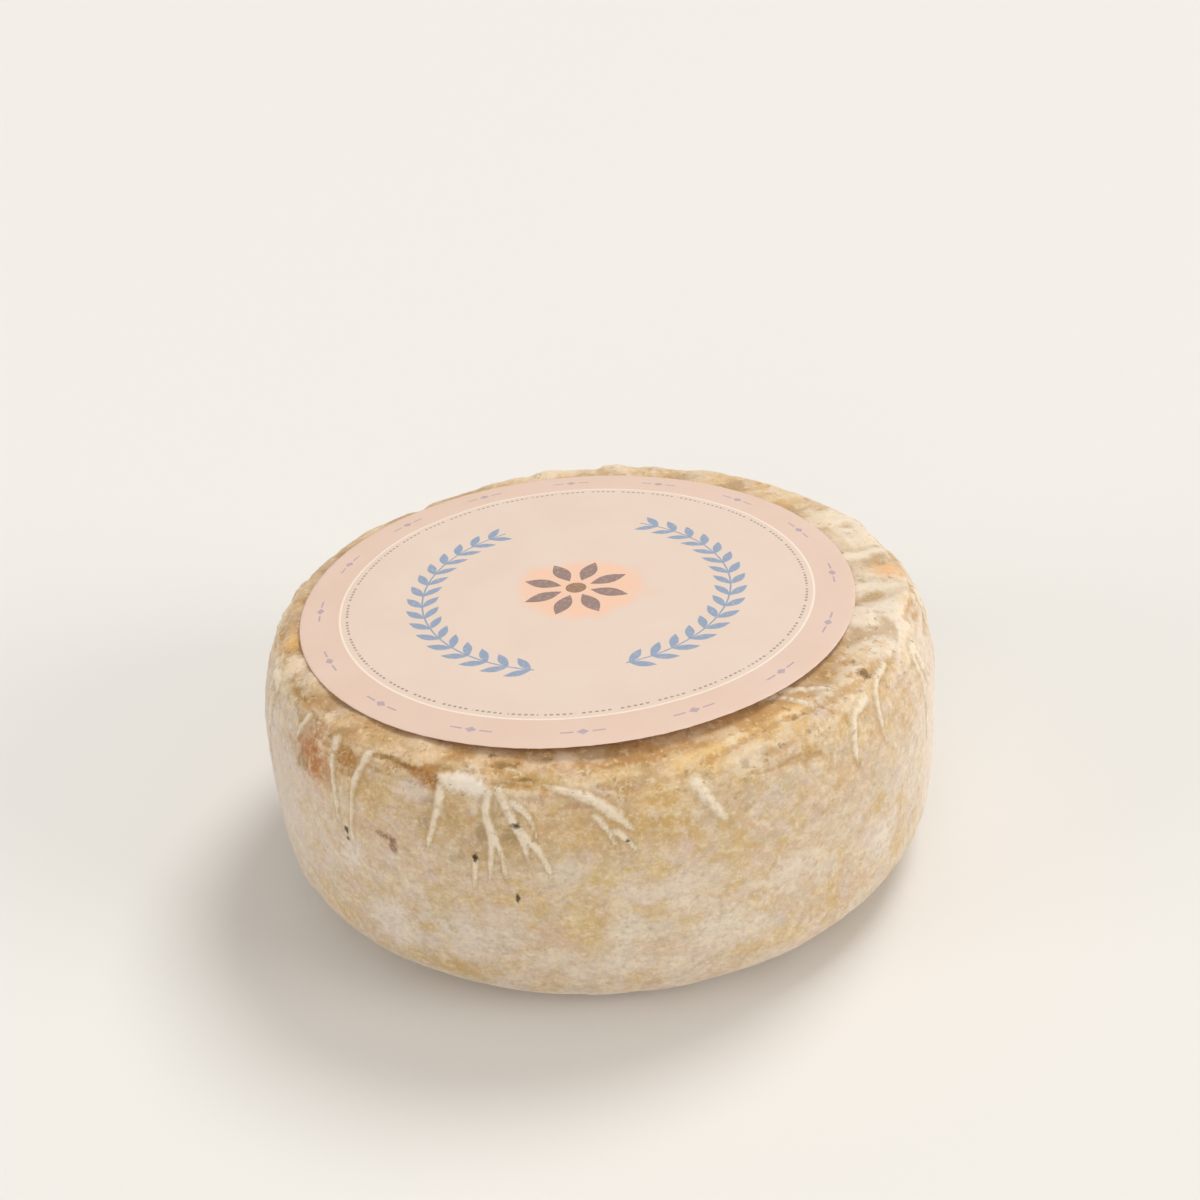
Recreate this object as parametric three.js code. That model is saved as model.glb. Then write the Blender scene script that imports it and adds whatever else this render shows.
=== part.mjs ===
// A whole, uncut wheel of pressed goat's-milk cheese in its natural rind, with the round
// paper label that is stuck to its top. The wheel is one solid, and so is the label.
// Millimetres, +Z up. The origin is the middle of the flat foot that the wheel rests on,
// and the label's loose edge lifts on the -Y side.

import * as THREE from "three";

// Half section of the wheel
const BELLY_RADIUS = 110; // widest, half way up the shoulder height
const SHOULDER_HEIGHT = 86; // where the shoulder turns into the top
const CROWN_RISE = 2.2; // from the end of the shoulder to the middle of the top
const BELLY_BULGE = 2.9; // the side's fall from the belly, at foot level and at shoulder level
const FOOT_EDGE = { across: 27.5, up: 21 }; // soft lower edge, a quarter of an ellipse
const SHOULDER = { across: 13.7, down: 33 }; // upper edge, steeper on the side than on the top

// Unevenness from pressing and turning: slow swellings of the outline, puckers where the
// cloth was gathered over the shoulder, and a stretch of shoulder that has slumped
const SWELLINGS = [
  { lobes: 2, height: 0.7, turn: 25 },
  { lobes: 3, height: 0.5, turn: 70 },
  { lobes: 5, height: 0.3, turn: 10 },
];
const PUCKERS = [
  { lobes: 13, height: 0.35, turn: 5 },
  { lobes: 19, height: 0.25, turn: 50 },
];
const PUCKER_REACH = 30; // how far below the shoulder the puckers fade out
const SLUMP = { angle: -80, halfWidth: 35, depth: 2.6, inner: 82, outer: 98 };

// Paper label
const LABEL_RADIUS = 90;
const LABEL_THICKNESS = 0.3;
const LABEL_CENTRE = new THREE.Vector2(-5.5, -1);
const LABEL_CLEARANCE = 0.35; // between the paper and the rind
const LABEL_LIFT = { angle: -80, halfWidth: 38, height: 2.4, inner: 52 }; // the loose edge

// Facets
const WHEEL_SEGMENTS = 112;
const SECTION_DIVISIONS = 5; // for each curve of the half section
const LABEL_SEGMENTS = 80;
const LABEL_RINGS = 7;

const radians = THREE.MathUtils.degToRad;
const smoothstep = THREE.MathUtils.smoothstep;

// 1 at the stated angle, falling to 1/e at its half width to either side.
function nearAngle(angle, { angle: middle, halfWidth }) {
  const turn = THREE.MathUtils.euclideanModulo(angle - radians(middle) + Math.PI, 2 * Math.PI) - Math.PI;
  return Math.exp(-((turn / radians(halfWidth)) ** 2));
}

function waves(angle, list) {
  return list.reduce(
    (sum, { lobes, height, turn }) => sum + height * Math.sin(lobes * (angle + radians(turn))),
    0,
  );
}

function bellyRadius(z) {
  const middle = SHOULDER_HEIGHT / 2;
  return BELLY_RADIUS - BELLY_BULGE * ((z - middle) / middle) ** 2;
}

const footEdgeEnd = new THREE.Vector2(bellyRadius(FOOT_EDGE.up), FOOT_EDGE.up);
const shoulderStart = new THREE.Vector2(
  bellyRadius(SHOULDER_HEIGHT - SHOULDER.down),
  SHOULDER_HEIGHT - SHOULDER.down,
);
const footRadius = footEdgeEnd.x - FOOT_EDGE.across;
const crownRadius = shoulderStart.x - SHOULDER.across;

// The section from the middle of the foot, out along the foot, up the side and back over the top.
function wheelSection() {
  const bellyZ = (footEdgeEnd.y + shoulderStart.y) / 2;
  const bellySlope = (4 * BELLY_BULGE * (SHOULDER_HEIGHT / 2 - footEdgeEnd.y)) / (SHOULDER_HEIGHT ** 2 / 2);
  const section = new THREE.Path();
  section.moveTo(0, 0);
  section.lineTo(footRadius, 0);
  section.absellipse(footRadius, FOOT_EDGE.up, FOOT_EDGE.across, FOOT_EDGE.up, -Math.PI / 2, 0);
  section.quadraticCurveTo(
    footEdgeEnd.x + bellySlope * (bellyZ - footEdgeEnd.y),
    bellyZ,
    shoulderStart.x,
    shoulderStart.y,
  );
  section.absellipse(crownRadius, shoulderStart.y, SHOULDER.across, SHOULDER.down, 0, Math.PI / 2);
  section.quadraticCurveTo(crownRadius / 2, SHOULDER_HEIGHT + CROWN_RISE, 0, SHOULDER_HEIGHT + CROWN_RISE);
  return section.getPoints(SECTION_DIVISIONS);
}

function slump(angle, radius) {
  return SLUMP.depth * nearAngle(angle, SLUMP) * smoothstep(radius, SLUMP.inner, SLUMP.outer);
}

// Height of the rind under the label.
function topHeight(x, y) {
  const radius = Math.hypot(x, y);
  const fall = CROWN_RISE * (radius / crownRadius) ** 2;
  return SHOULDER_HEIGHT + CROWN_RISE - fall - slump(Math.atan2(y, x), radius);
}

// A closed body of revolution about +Z, whose points are then moved by the given function.
function turned(section, segments, move) {
  const geometry = new THREE.LatheGeometry(section, segments).rotateX(Math.PI / 2);
  const position = geometry.getAttribute("position");
  const point = new THREE.Vector3();
  for (let i = 0; i < position.count; i++) {
    move(point.fromBufferAttribute(position, i));
    position.setXYZ(i, point.x, point.y, point.z);
  }
  geometry.computeVertexNormals();
  return geometry;
}

function cheeseWheel() {
  const geometry = turned(wheelSection(), WHEEL_SEGMENTS, (point) => {
    const radius = Math.hypot(point.x, point.y);
    const angle = Math.atan2(point.y, point.x);
    const offTop = smoothstep(radius, crownRadius - SHOULDER.across, crownRadius);
    const side = offTop * smoothstep(point.z, 0, FOOT_EDGE.up);
    const shoulder = side * smoothstep(point.z, SHOULDER_HEIGHT - PUCKER_REACH, SHOULDER_HEIGHT);
    const swell = side * waves(angle, SWELLINGS) + shoulder * waves(angle, PUCKERS);
    const upper = smoothstep(point.z, SHOULDER_HEIGHT - SHOULDER.down, SHOULDER_HEIGHT);
    point.z -= upper * slump(angle, radius);
    point.x += swell * Math.cos(angle);
    point.y += swell * Math.sin(angle);
  });
  const rind = new THREE.MeshStandardMaterial({ color: 0xd3b78f, roughness: 0.82, metalness: 0 });
  const mesh = new THREE.Mesh(geometry, rind);
  mesh.name = "cheese_wheel";
  return mesh;
}

// Thin section of the label: out along its underside, up its cut edge and back along its face.
function labelSection() {
  const underside = [];
  for (let ring = 0; ring <= LABEL_RINGS; ring++) {
    underside.push(new THREE.Vector2((LABEL_RADIUS * ring) / LABEL_RINGS, 0));
  }
  const face = underside.map(({ x }) => new THREE.Vector2(x, LABEL_THICKNESS)).reverse();
  return [...underside, ...face];
}

function paperLabel() {
  const geometry = turned(labelSection(), LABEL_SEGMENTS, (point) => {
    const lift = nearAngle(Math.atan2(point.y, point.x), LABEL_LIFT);
    const edge = smoothstep(Math.hypot(point.x, point.y), LABEL_LIFT.inner, LABEL_RADIUS);
    point.x += LABEL_CENTRE.x;
    point.y += LABEL_CENTRE.y;
    point.z += topHeight(point.x, point.y) + LABEL_CLEARANCE + LABEL_LIFT.height * lift * edge;
  });
  const paper = new THREE.MeshStandardMaterial({ color: 0xe9d3c4, roughness: 0.7, metalness: 0 });
  const mesh = new THREE.Mesh(geometry, paper);
  mesh.name = "paper_label";
  return mesh;
}

const tomme = new THREE.Group();
tomme.add(cheeseWheel(), paperLabel());

export default tomme;
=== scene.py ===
# A whole wheel of pressed goat's-milk cheese in its natural rind, with a round paper label on its top.
# It stands on a pale floor in soft light, seen from the front and above. Lengths are in metres.

import math
import random

import bpy
from mathutils import Matrix, Vector
from mathutils.bvhtree import BVHTree


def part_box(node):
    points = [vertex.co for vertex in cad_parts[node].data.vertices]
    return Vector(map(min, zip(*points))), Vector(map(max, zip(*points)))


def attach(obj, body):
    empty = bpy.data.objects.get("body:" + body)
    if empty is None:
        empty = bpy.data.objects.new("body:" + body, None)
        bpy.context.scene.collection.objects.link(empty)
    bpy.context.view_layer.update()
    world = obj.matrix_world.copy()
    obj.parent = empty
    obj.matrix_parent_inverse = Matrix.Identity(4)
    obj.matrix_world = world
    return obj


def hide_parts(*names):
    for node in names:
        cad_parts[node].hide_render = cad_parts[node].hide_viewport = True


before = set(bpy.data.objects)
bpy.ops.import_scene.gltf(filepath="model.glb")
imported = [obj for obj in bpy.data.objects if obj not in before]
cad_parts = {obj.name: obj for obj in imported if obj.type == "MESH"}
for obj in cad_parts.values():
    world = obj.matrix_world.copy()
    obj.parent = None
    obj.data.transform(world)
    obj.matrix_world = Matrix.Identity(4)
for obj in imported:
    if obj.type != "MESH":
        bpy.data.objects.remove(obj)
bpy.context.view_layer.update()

# The wheel is one pressed cheese in a dry rind that it grew itself. The gathers of the cloth in its mould
# left pale raised folds, like fine roots, that run down the side from the shoulder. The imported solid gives
# the form, and a node tree adds the folds, creases and lumps of the rind.
MM = 0.001
wheel_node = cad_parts["cheese_wheel"]
WHEEL_MIDDLE = 43 * MM
rind_surface = BVHTree.FromPolygons(
    [vertex.co for vertex in wheel_node.data.vertices],
    [polygon.vertices for polygon in wheel_node.data.polygons],
)


def on_rind(angle, height):
    """The point of the wheel's side at that angle in degrees and that height in millimetres."""
    outward = Vector((math.cos(math.radians(angle)), math.sin(math.radians(angle)), 0))
    return rind_surface.ray_cast(Vector((0, 0, height * MM)), outward)[0]


def line_work(name, paths):
    """A curve object with one smooth, tapering line for each (half width in mm, points on the rind)."""
    lines = bpy.data.curves.new(name, "CURVE")
    lines.dimensions = "3D"
    for half_width, points in paths:
        spline = lines.splines.new("NURBS")
        spline.points.add(len(points) - 1)
        for step, (point, place) in enumerate(zip(spline.points, points)):
            point.co = (*on_rind(*place), 1)
            point.radius = half_width * MM * (1 - 0.5 * step / (len(points) - 1))
        spline.order_u = min(4, len(points))
        spline.use_endpoint_u = True
    work = bpy.data.objects.new(name, lines)
    bpy.context.scene.collection.objects.link(work)
    return work


# Folds and creases on the front, each a half width and the (angle, height) points that it runs through
folds = [
    (1.8, [(-138, 82), (-137.5, 79.5)]),
    (1.1, [(-137.5, 81), (-137.5, 77.5), (-137, 73.5), (-136.5, 69), (-136, 65), (-135, 56)]),
    (1.2, [(-130.5, 82.5), (-132, 76.5), (-132.5, 72.5), (-132.5, 68), (-132.5, 60.5), (-133, 50)]),
    (1.1, [(-147, 82.5), (-149, 78.5), (-149, 74)]),
    (1.3, [(-116.5, 79.5), (-116.5, 75), (-117, 71), (-117.5, 66), (-118.5, 60)]),
    (2.8, [(-116, 80.5), (-112.5, 80.5), (-108.5, 80.5)]),
    (1.3, [(-108.5, 79.5), (-109, 75.5), (-108.5, 72.5), (-107.5, 67.5), (-108, 62), (-108.5, 54)]),
    (1.0, [(-108, 71), (-107, 67), (-106, 63), (-106, 53)]),
    (1.4, [(-107, 80.5), (-105.5, 76), (-104.5, 73), (-103.5, 69.5), (-102.5, 66), (-102.5, 60)]),
    (1.3, [(-104, 71.5), (-101.5, 67), (-100.5, 63.5), (-99.5, 60.5), (-99, 55)]),
    (1.0, [(-104.5, 77.5), (-102.5, 76), (-101.5, 74), (-101, 68.5)]),
    (0.9, [(-110.5, 59.5), (-111, 50)]),
    (1.8, [(-88.5, 73.5), (-91, 76.5), (-93, 78.5), (-95.5, 80), (-100, 81.5)]),
    (1.4, [(-90, 75), (-88.5, 73.5), (-86, 69)]),
    (1.0, [(-92, 74), (-90.5, 71), (-89, 64.5)]),
    (1.1, [(-89, 69.5), (-87.5, 67.5), (-86, 63)]),
    (2.2, [(-76, 79), (-75.5, 77), (-74.5, 73.5), (-72, 67)]),
    (1.6, [(-41.5, 81.5), (-44, 81), (-46.5, 79.5), (-47.5, 75.5), (-48, 67)]),
    (1.4, [(-32, 84), (-35.5, 83.5), (-38.5, 81.5), (-40.5, 77), (-40, 67.5)]),
    (1.4, [(-57, 86), (-54, 86), (-50.5, 84.5)]),
    (1.6, [(-55, 86), (-50.5, 86), (-44, 85)]),
    (3.0, [(7, 86.5), (8.5, 86), (10, 84.5)]),
    (3.6, [(-8, 86.5), (-6.5, 86), (-5, 84.5)]),
]
creases = [
    (2.2, [
        (-33, 85), (-38, 84.6), (-43, 84.3), (-53, 84.4), (-58, 84.6), (-67, 83.6), (-76, 81.5), (-82, 79),
    ]),
    (1.4, [(-119, 83), (-110, 83), (-97, 83)]),
    (1.2, [(-108, 81.6), (-100, 80.4), (-93, 81)]),
    (1.6, [(-127, 82), (-121, 81), (-117, 80.6)]),
]

# Fans of folds on the sides and back, each from a pale lump
chance = random.Random(11)
knot = -22
while knot < 204:
    top = chance.uniform(78, 83)
    folds.append((chance.uniform(1.6, 2.5), [(knot - 2, top), (knot + 2, top + 1)]))
    for _ in range(chance.randint(2, 4)):
        root = knot + chance.uniform(-3, 3)
        drift = chance.uniform(-6, 6)
        drop = chance.uniform(9, 33)
        path = [(root + drift * share ** 1.7, top - drop * share) for share in (0, 0.3, 0.65, 1)]
        folds.append((chance.uniform(1.0, 1.5), path))
    creases.append((chance.uniform(1.4, 2.2), [(knot + 6, 84), (knot + 14, 82.5), (knot + 22, 83.5)]))
    knot += chance.uniform(13, 28)

fold_lines = line_work("fold_lines", folds)
crease_lines = line_work("crease_lines", creases)


def add(tree, kind, inputs=None, **settings):
    """Adds a node with its settings, and a value or a link for each input that is named or numbered."""
    node = tree.nodes.new(kind)
    for name, value in settings.items():
        setattr(node, name, value)
    for name, source in (inputs or {}).items():
        shown = [socket for socket in node.inputs if socket.enabled and socket.name == name]
        socket = node.inputs[name] if isinstance(name, int) else shown[0]
        if isinstance(source, bpy.types.Node):
            source = next(output for output in source.outputs if output.enabled)
        if isinstance(source, bpy.types.NodeSocket):
            tree.links.new(source, socket)
        else:
            socket.default_value = source
    return node


def linear(hex_colour):
    """The linear colour of an sRGB hex value."""
    channels = [int(hex_colour[i:i + 2], 16) / 255 for i in (0, 2, 4)]
    return (*[c / 12.92 if c <= 0.04045 else ((c + 0.055) / 1.055) ** 2.4 for c in channels], 1)


# Natural rind: dry, floury and matte. It is beige and finely flecked, with ochre and pale bloom in patches.
# It is golden over the shoulder, brown where the label kept it damp, and paler on the stretched folds. The
# brown by the label is also painted shadow under the label's lifted front edge.
rind = bpy.data.materials.new("natural_rind")
rind.use_nodes = True
rind.node_tree.nodes.clear()
tree = rind.node_tree
place = add(tree, "ShaderNodeTexCoord").outputs["Object"]
height = add(tree, "ShaderNodeSeparateXYZ", {0: place}).outputs["Z"]

# Brushing while it ripened drew the flecks out a little along the side
brushed = add(tree, "ShaderNodeMapping", {"Vector": place, "Scale": (1, 1, 1.15)})


def lay_coats(colour, coats, first_seed):
    """The colour with each coat laid over it in patches of noise."""
    for seed, (coat, size, detail, start, full, strength, low, high) in enumerate(coats, first_seed):
        patch = add(
            tree, "ShaderNodeTexNoise",
            {
                "Vector": brushed, "W": seed, "Scale": 1 / (size * MM), "Detail": detail, "Roughness": 0.66,
                "Distortion": 0.3,
            },
            noise_dimensions="4D",
        )
        band = add(
            tree, "ShaderNodeMapRange",
            {"Value": height, "From Min": low * MM, "From Max": high * MM, "To Max": strength},
            interpolation_type="SMOOTHSTEP",
        )
        cover = add(
            tree, "ShaderNodeMapRange",
            {"Value": patch.outputs["Fac"], "From Min": start, "From Max": full, "To Max": band},
            interpolation_type="SMOOTHSTEP",
        )
        colour = add(
            tree, "ShaderNodeMix", {"Factor": cover, "A": colour, "B": linear(coat)},
            data_type="RGBA",
        )
    return colour


# Each coat is a colour, its patch size in mm, the noise's detail, the noise levels where it starts and is
# full, its strength, and the heights in mm where it starts and is full
ALL_OVER = (-2, -1)
PATCHES = [
    ("C7A767", 10, 2, 0.49, 0.62, 0.60, *ALL_OVER),
    ("D5C6B4", 15, 3, 0.46, 0.60, 0.75, 84, 36),
    ("CFBBB2", 10, 2, 0.49, 0.62, 0.65, *ALL_OVER),
    ("C0B39C", 9, 2, 0.50, 0.62, 0.50, *ALL_OVER),
    ("C09A60", 14, 4, 0.40, 0.62, 0.75, 52, 74),
    ("D8B27A", 12, 3, 0.42, 0.58, 0.65, 76, 85),
    ("E3CFB2", 10, 4, 0.48, 0.64, 0.65, 76, 84),
    ("B4824A", 7, 5, 0.55, 0.64, 0.70, 74, 82),
]
colour = lay_coats(linear("C9AF92"), PATCHES, first_seed=0)

# Marks in their places, each a colour, an angle and a height, its width and height in mm and its strength.
# Thin bloom and yellowing lie beneath the flecks, thick bloom, painted sheen on the flanks and stains
# between the coarse ones and the fine, and specks of mould, fine cracks and the freshest bloom over all.
FAINT_MARKS = [
    ("EBDCC6", -20, 86, 24, 5, 0.80),
    ("EBDCC6", 14, 86, 30, 5, 0.75),
    ("D9CDC2", -126, 28, 10, 10, 0.80),
    ("D5C9BC", -113, 32, 14, 9, 0.75),
    ("DACEC4", -133.5, 49, 5, 8, 0.85),
    ("CFBDA4", -134.5, 67, 5, 8, 0.60),
    ("CFC5B6", -97, 57, 8, 6, 0.65),
    ("D6C8B8", -83, 48, 12, 6, 0.65),
    ("D5C8B9", -88, 38, 7, 8, 0.70),
    ("D5C8B9", -89.5, 26, 9, 8, 0.65),
    ("D8CBBA", -73, 34, 13, 8, 0.70),
    ("D8CBBA", -63, 43, 10, 8, 0.65),
    ("DED2C4", -41, 36, 8, 10, 0.65),
    ("BFA26C", -117, 44, 7, 7, 0.55),
    ("C5A768", -94.5, 42, 8, 15, 0.65),
    ("C6A86A", -91, 56, 7, 5, 0.60),
    ("C8A760", -83, 57, 9, 4, 0.65),
    ("C5A66A", -84, 42.5, 6, 4, 0.55),
    ("C6A86A", -72, 57, 7, 5, 0.55),
    ("C9AB6E", -36, 27, 6, 7, 0.60),
    ("C6A66A", -66, 20, 14, 4, 0.60),
    ("BD9E66", -117, 17, 18, 6, 0.70),
    ("B4986E", -106, 66, 15, 11, 0.60),
    ("B79A68", -114, 71, 7, 6, 0.55),
    ("BC9850", -81, 70, 8, 7, 0.60),
    ("BFA276", -90, 66, 10, 6, 0.50),
    ("C09A58", -101, 82, 12, 1.8, 0.65),
    ("C6A05C", -87, 82.5, 10, 2, 0.60),
    ("E2BC7C", -64, 85, 14, 3.4, 0.80),
    ("E2BC7C", -74, 83, 10, 3.4, 0.70),
    ("EABF7E", -56, 85, 9, 2.4, 0.75),
    ("D0BDB2", -121.5, 77, 8, 5, 0.80),
]
STRONG_MARKS = [
    # The first two, wide and pale on the left and right flanks, are partly bloom and partly painted sheen
    ("D2C6BC", -161, 56, 42, 50, 0.65),
    ("E2D5C8", -12, 58, 46, 46, 0.55),
    ("E3CAAE", -102, 84.5, 4.5, 1.5, 0.80),
    ("E3CAAE", -97, 84.5, 4.5, 1.5, 0.85),
    ("E3CAAE", -92, 84.5, 4.5, 1.5, 0.80),
    ("E6C8A4", -126, 84, 6, 2.0, 0.80),
    ("E6C8A4", -120, 84.5, 5, 1.6, 0.75),
    ("DAA85F", -170, 86, 10, 4, 0.85),
    ("F2E6DA", -112.5, 81, 7, 3.8, 0.95),
    ("B0703A", -143, 75, 12, 8.5, 1.00),
    ("8C7038", -146, 70, 6, 2.5, 0.60),
    ("A9763A", -135, 79, 7.5, 6, 1.00),
    ("A0672A", -118.5, 81, 5.5, 2.6, 1.00),
    ("A0672A", -117.5, 79, 2.2, 2.4, 0.90),
    ("96703A", -123, 81.5, 7, 1.5, 0.85),
    ("A68A58", -154, 83.5, 8, 3.0, 0.85),
    ("B68A58", -148, 84, 8, 3.0, 0.80),
    ("BF9664", -138, 84, 8, 2.2, 0.60),
    ("C8A05E", -83, 77, 8, 4.5, 0.60),
    ("C4A05F", -86, 70.5, 4.5, 3, 0.55),
    ("8A7551", -105, 68.5, 3.2, 2.8, 0.60),
    ("8F7A55", -106.5, 73, 2.0, 3.0, 0.50),
    ("8F7A55", -109.5, 68.5, 2.0, 4.0, 0.50),
    ("94805F", -113.5, 60.5, 3.0, 2.0, 0.45),
    ("8A7858", -118.5, 69.5, 2.6, 3.0, 0.45),
    ("8A7858", -118, 75, 3.0, 1.6, 0.45),
    ("7A4E3A", -126, 61, 3.4, 1.5, 0.75),
    ("7A4E3A", -124.5, 58.5, 1.8, 2.8, 0.75),
]
SPECKS = [
    ("3A2D15", -134, 57.5, 1.1, 1.6, 0.90),
    ("4F4026", -134, 54, 0.9, 1.1, 0.80),
    ("35270F", -104, 72, 1.9, 1.1, 0.95),
    ("35270F", -110.5, 61, 1.1, 1.8, 0.95),
    ("40301A", -104.5, 48.5, 0.9, 2.0, 0.90),
    ("4A3920", -87.5, 67, 0.7, 0.7, 0.85),
    ("6A5030", -37, 85, 2.4, 2.6, 0.85),
    ("5E4422", -110, 85, 2.2, 0.4, 0.80),
    ("5E4422", -105.5, 85.5, 3.0, 0.4, 0.85),
    ("7A5C30", -107, 84.5, 5.0, 0.4, 0.70),
    ("7A5C30", -103, 82.5, 4.0, 0.4, 0.70),
    ("6E5028", -79, 86, 6.0, 0.4, 0.70),
    ("6E5028", -72.5, 86, 4.0, 0.4, 0.65),
    ("5E4422", -117, 86, 0.8, 0.5, 0.80),
    ("5E4422", -92.5, 86, 0.7, 0.5, 0.80),
    ("5E4422", -86.5, 86, 0.7, 0.5, 0.80),
    ("8A6832", -127.5, 82.5, 5.5, 0.7, 0.75),
    ("8A6832", -123, 82, 4.0, 0.8, 0.75),
    ("8C7A60", -67.5, 80.5, 2.0, 1.6, 0.50),
    ("9A8866", -47.5, 67.5, 1.0, 1.6, 0.60),
    ("8C7A60", -55, 82, 0.8, 0.8, 0.60),
    ("A0682C", -121, 81.5, 4.5, 1.3, 0.70),
    ("EBDFD2", -113, 81.5, 5.0, 2.6, 0.60),
    ("EBDFD2", -110.5, 80, 3.5, 2.4, 0.60),
    ("EACDAD", -142.5, 85, 3.2, 1.8, 0.75),
    ("F0D7B7", -162, 85.5, 7.0, 2.2, 0.75),
    ("E4A965", 0.5, 86, 7.0, 3.5, 0.75),
]

# The sides and back have the same by chance, each within a range of heights and of widths
CHANCE_MARKS = [
    (FAINT_MARKS, "D6C9BA", (20, 60), (10, 24), 14, 0.65),
    (FAINT_MARKS, "C0A569", (25, 65), (8, 13), 9, 0.50),
    (STRONG_MARKS, "B07B44", (76, 84), (3, 8), 3.5, 0.85),
    (SPECKS, "3A2D15", (45, 78), (0.8, 1.7), 1.5, 0.90),
]
for turn in range(4, 181, 22):
    for marks, mark, levels, widths, tall, strength in CHANCE_MARKS:
        angle = turn + chance.uniform(-8, 8)
        marks.append((mark, angle, chance.uniform(*levels), chance.uniform(*widths), tall, strength))

# Noises that fray the edges of the marks, and the share of a mark's size where its edge lies
ragged = add(
    tree, "ShaderNodeTexNoise",
    {"Vector": brushed, "Scale": 1 / (4 * MM), "Detail": 6, "Roughness": 0.7},
)
fine = add(
    tree, "ShaderNodeTexNoise",
    {"Vector": place, "Scale": 1 / (1.2 * MM), "Detail": 3, "Roughness": 0.65},
)
MARK_EDGE = 0.75


def lay_marks(colour, marks, noise, fray, blur):
    """The colour with each mark laid over it, its edge blurred and frayed by so much of the noise."""
    rim = fray / 2 + MARK_EDGE
    for mark, angle, level, across, tall, strength in marks:
        away = add(tree, "ShaderNodeVectorMath", {0: place, 1: on_rind(angle, level)}, operation="SUBTRACT")
        span = (1 / (across * MM), 1 / (across * MM), 1 / (tall * MM))
        spread = add(tree, "ShaderNodeVectorMath", {0: away, 1: span}, operation="MULTIPLY")
        reach = add(tree, "ShaderNodeVectorMath", {0: spread}, operation="LENGTH")
        edge = add(
            tree, "ShaderNodeMath", {0: noise.outputs["Fac"], 1: fray, 2: reach.outputs["Value"]},
            operation="MULTIPLY_ADD",
        )
        cover = add(
            tree, "ShaderNodeMapRange",
            {"Value": edge, "From Min": rim + blur / 2, "From Max": rim - blur / 2, "To Max": strength},
            interpolation_type="SMOOTHSTEP",
        )
        colour = add(
            tree, "ShaderNodeMix", {"Factor": cover, "A": colour, "B": linear(mark)},
            data_type="RGBA",
        )
    return colour


def lay_shades(colour, shades):
    """The colour with each shade laid over it where that attribute of the relief has the stated amount."""
    for attribute, shade, fray, start, full, strength in shades:
        amount = add(tree, "ShaderNodeAttribute", attribute_name=attribute)
        frayed = add(
            tree, "ShaderNodeMath", {0: ragged.outputs["Fac"], 1: fray, 2: amount.outputs["Fac"]},
            operation="MULTIPLY_ADD",
        )
        cover = add(
            tree, "ShaderNodeMapRange",
            {"Value": frayed, "From Min": fray / 2 + start, "From Max": fray / 2 + full, "To Max": strength},
            interpolation_type="SMOOTHSTEP",
        )
        colour = add(
            tree, "ShaderNodeMix", {"Factor": cover, "A": colour, "B": linear(shade)},
            data_type="RGBA",
        )
    return colour


# Each shade is an attribute of the relief, a colour, how much it frays, where on the relief it starts and is
# full, and its strength. Crests of gathers and wrinkles are pale, and troughs ochre. The folds and creases
# are told by the distance from their middle in half widths. A fold is pale, with a darker foot that is
# painted shadow along its sides.
WRINKLE_SHADES = [
    ("gather", "E6D6C1", 0.3, 0.03, 0.14, 0.55),
    ("wrinkle", "A47C46", 0.3, -0.02, -0.14, 0.55),
    ("wrinkle", "E8D3B4", 0.3, 0.03, 0.15, 0.45),
    ("crease", "B5874C", 5, 1.1, 0.4, 0.60),
]
FOLD_TINTS_AND_PAINTED_SHADOW = [
    # The darker foot is painted shadow along the fold's sides
    ("fold", "A58A5F", 4, 2.8, 1.2, 0.35),
    ("fold", "E7D8C2", 2.8, 1.5, 0.2, 0.85),
]

# Flecks are fine coats, pale and dark in turn, with crumbs and grit over the shoulder at the end
COARSE_FLECKS = [
    ("A98F70", 4.0, 4, 0.46, 0.72, 0.45, 92, 76),
    ("E4D3B4", 3.6, 4, 0.46, 0.72, 0.55, 92, 76),
]
FINE_FLECKS = [
    ("A08864", 1.8, 3, 0.46, 0.70, 0.34, 92, 76),
    ("E8D9BC", 1.7, 3, 0.46, 0.70, 0.36, 92, 76),
    ("EAD2A6", 2.2, 3, 0.55, 0.68, 0.55, 74, 82),
    ("7E6034", 2.4, 4, 0.57, 0.68, 0.55, 72, 80),
]
colour = lay_marks(colour, FAINT_MARKS, ragged, fray=3.0, blur=0.9)
colour = lay_coats(colour, COARSE_FLECKS, first_seed=20)

# The damp rind along the label's rim is stained, most of all at the front. There the brown is also painted
# shadow under the label's lifted front edge.
label_low, label_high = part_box("paper_label")
LABEL_CENTRE = ((label_low + label_high) / 2).xy
LABEL_RADIUS = (label_high.x - label_low.x) / 2
RIM_STAIN_AND_SHADOW_WIDTH = 8 * MM
RIM_STAIN_AND_SHADOW_FULL = 5.5 * MM
RIM_STAIN_AND_SHADOW_WAVER = 4 * MM
RIM_STAIN_AND_SHADOW_FOOT = 68 * MM
RIM_STAIN_AND_SHADOW_HEAD = 77 * MM
STAIN_AND_SHADOW_MIDDLE = math.radians(-85)
FRONT = (math.cos(STAIN_AND_SHADOW_MIDDLE), math.sin(STAIN_AND_SHADOW_MIDDLE), 0)
from_centre = add(tree, "ShaderNodeVectorMath", {0: place, 1: (*LABEL_CENTRE, 0)}, operation="SUBTRACT")
from_centre = add(tree, "ShaderNodeVectorMath", {0: from_centre, 1: (1, 1, 0)}, operation="MULTIPLY")
off_label = add(tree, "ShaderNodeVectorMath", {0: from_centre}, operation="LENGTH").outputs["Value"]
heading = add(tree, "ShaderNodeVectorMath", {0: from_centre}, operation="NORMALIZE")
frontal = add(tree, "ShaderNodeVectorMath", {0: heading, 1: FRONT}, operation="DOT_PRODUCT")
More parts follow.
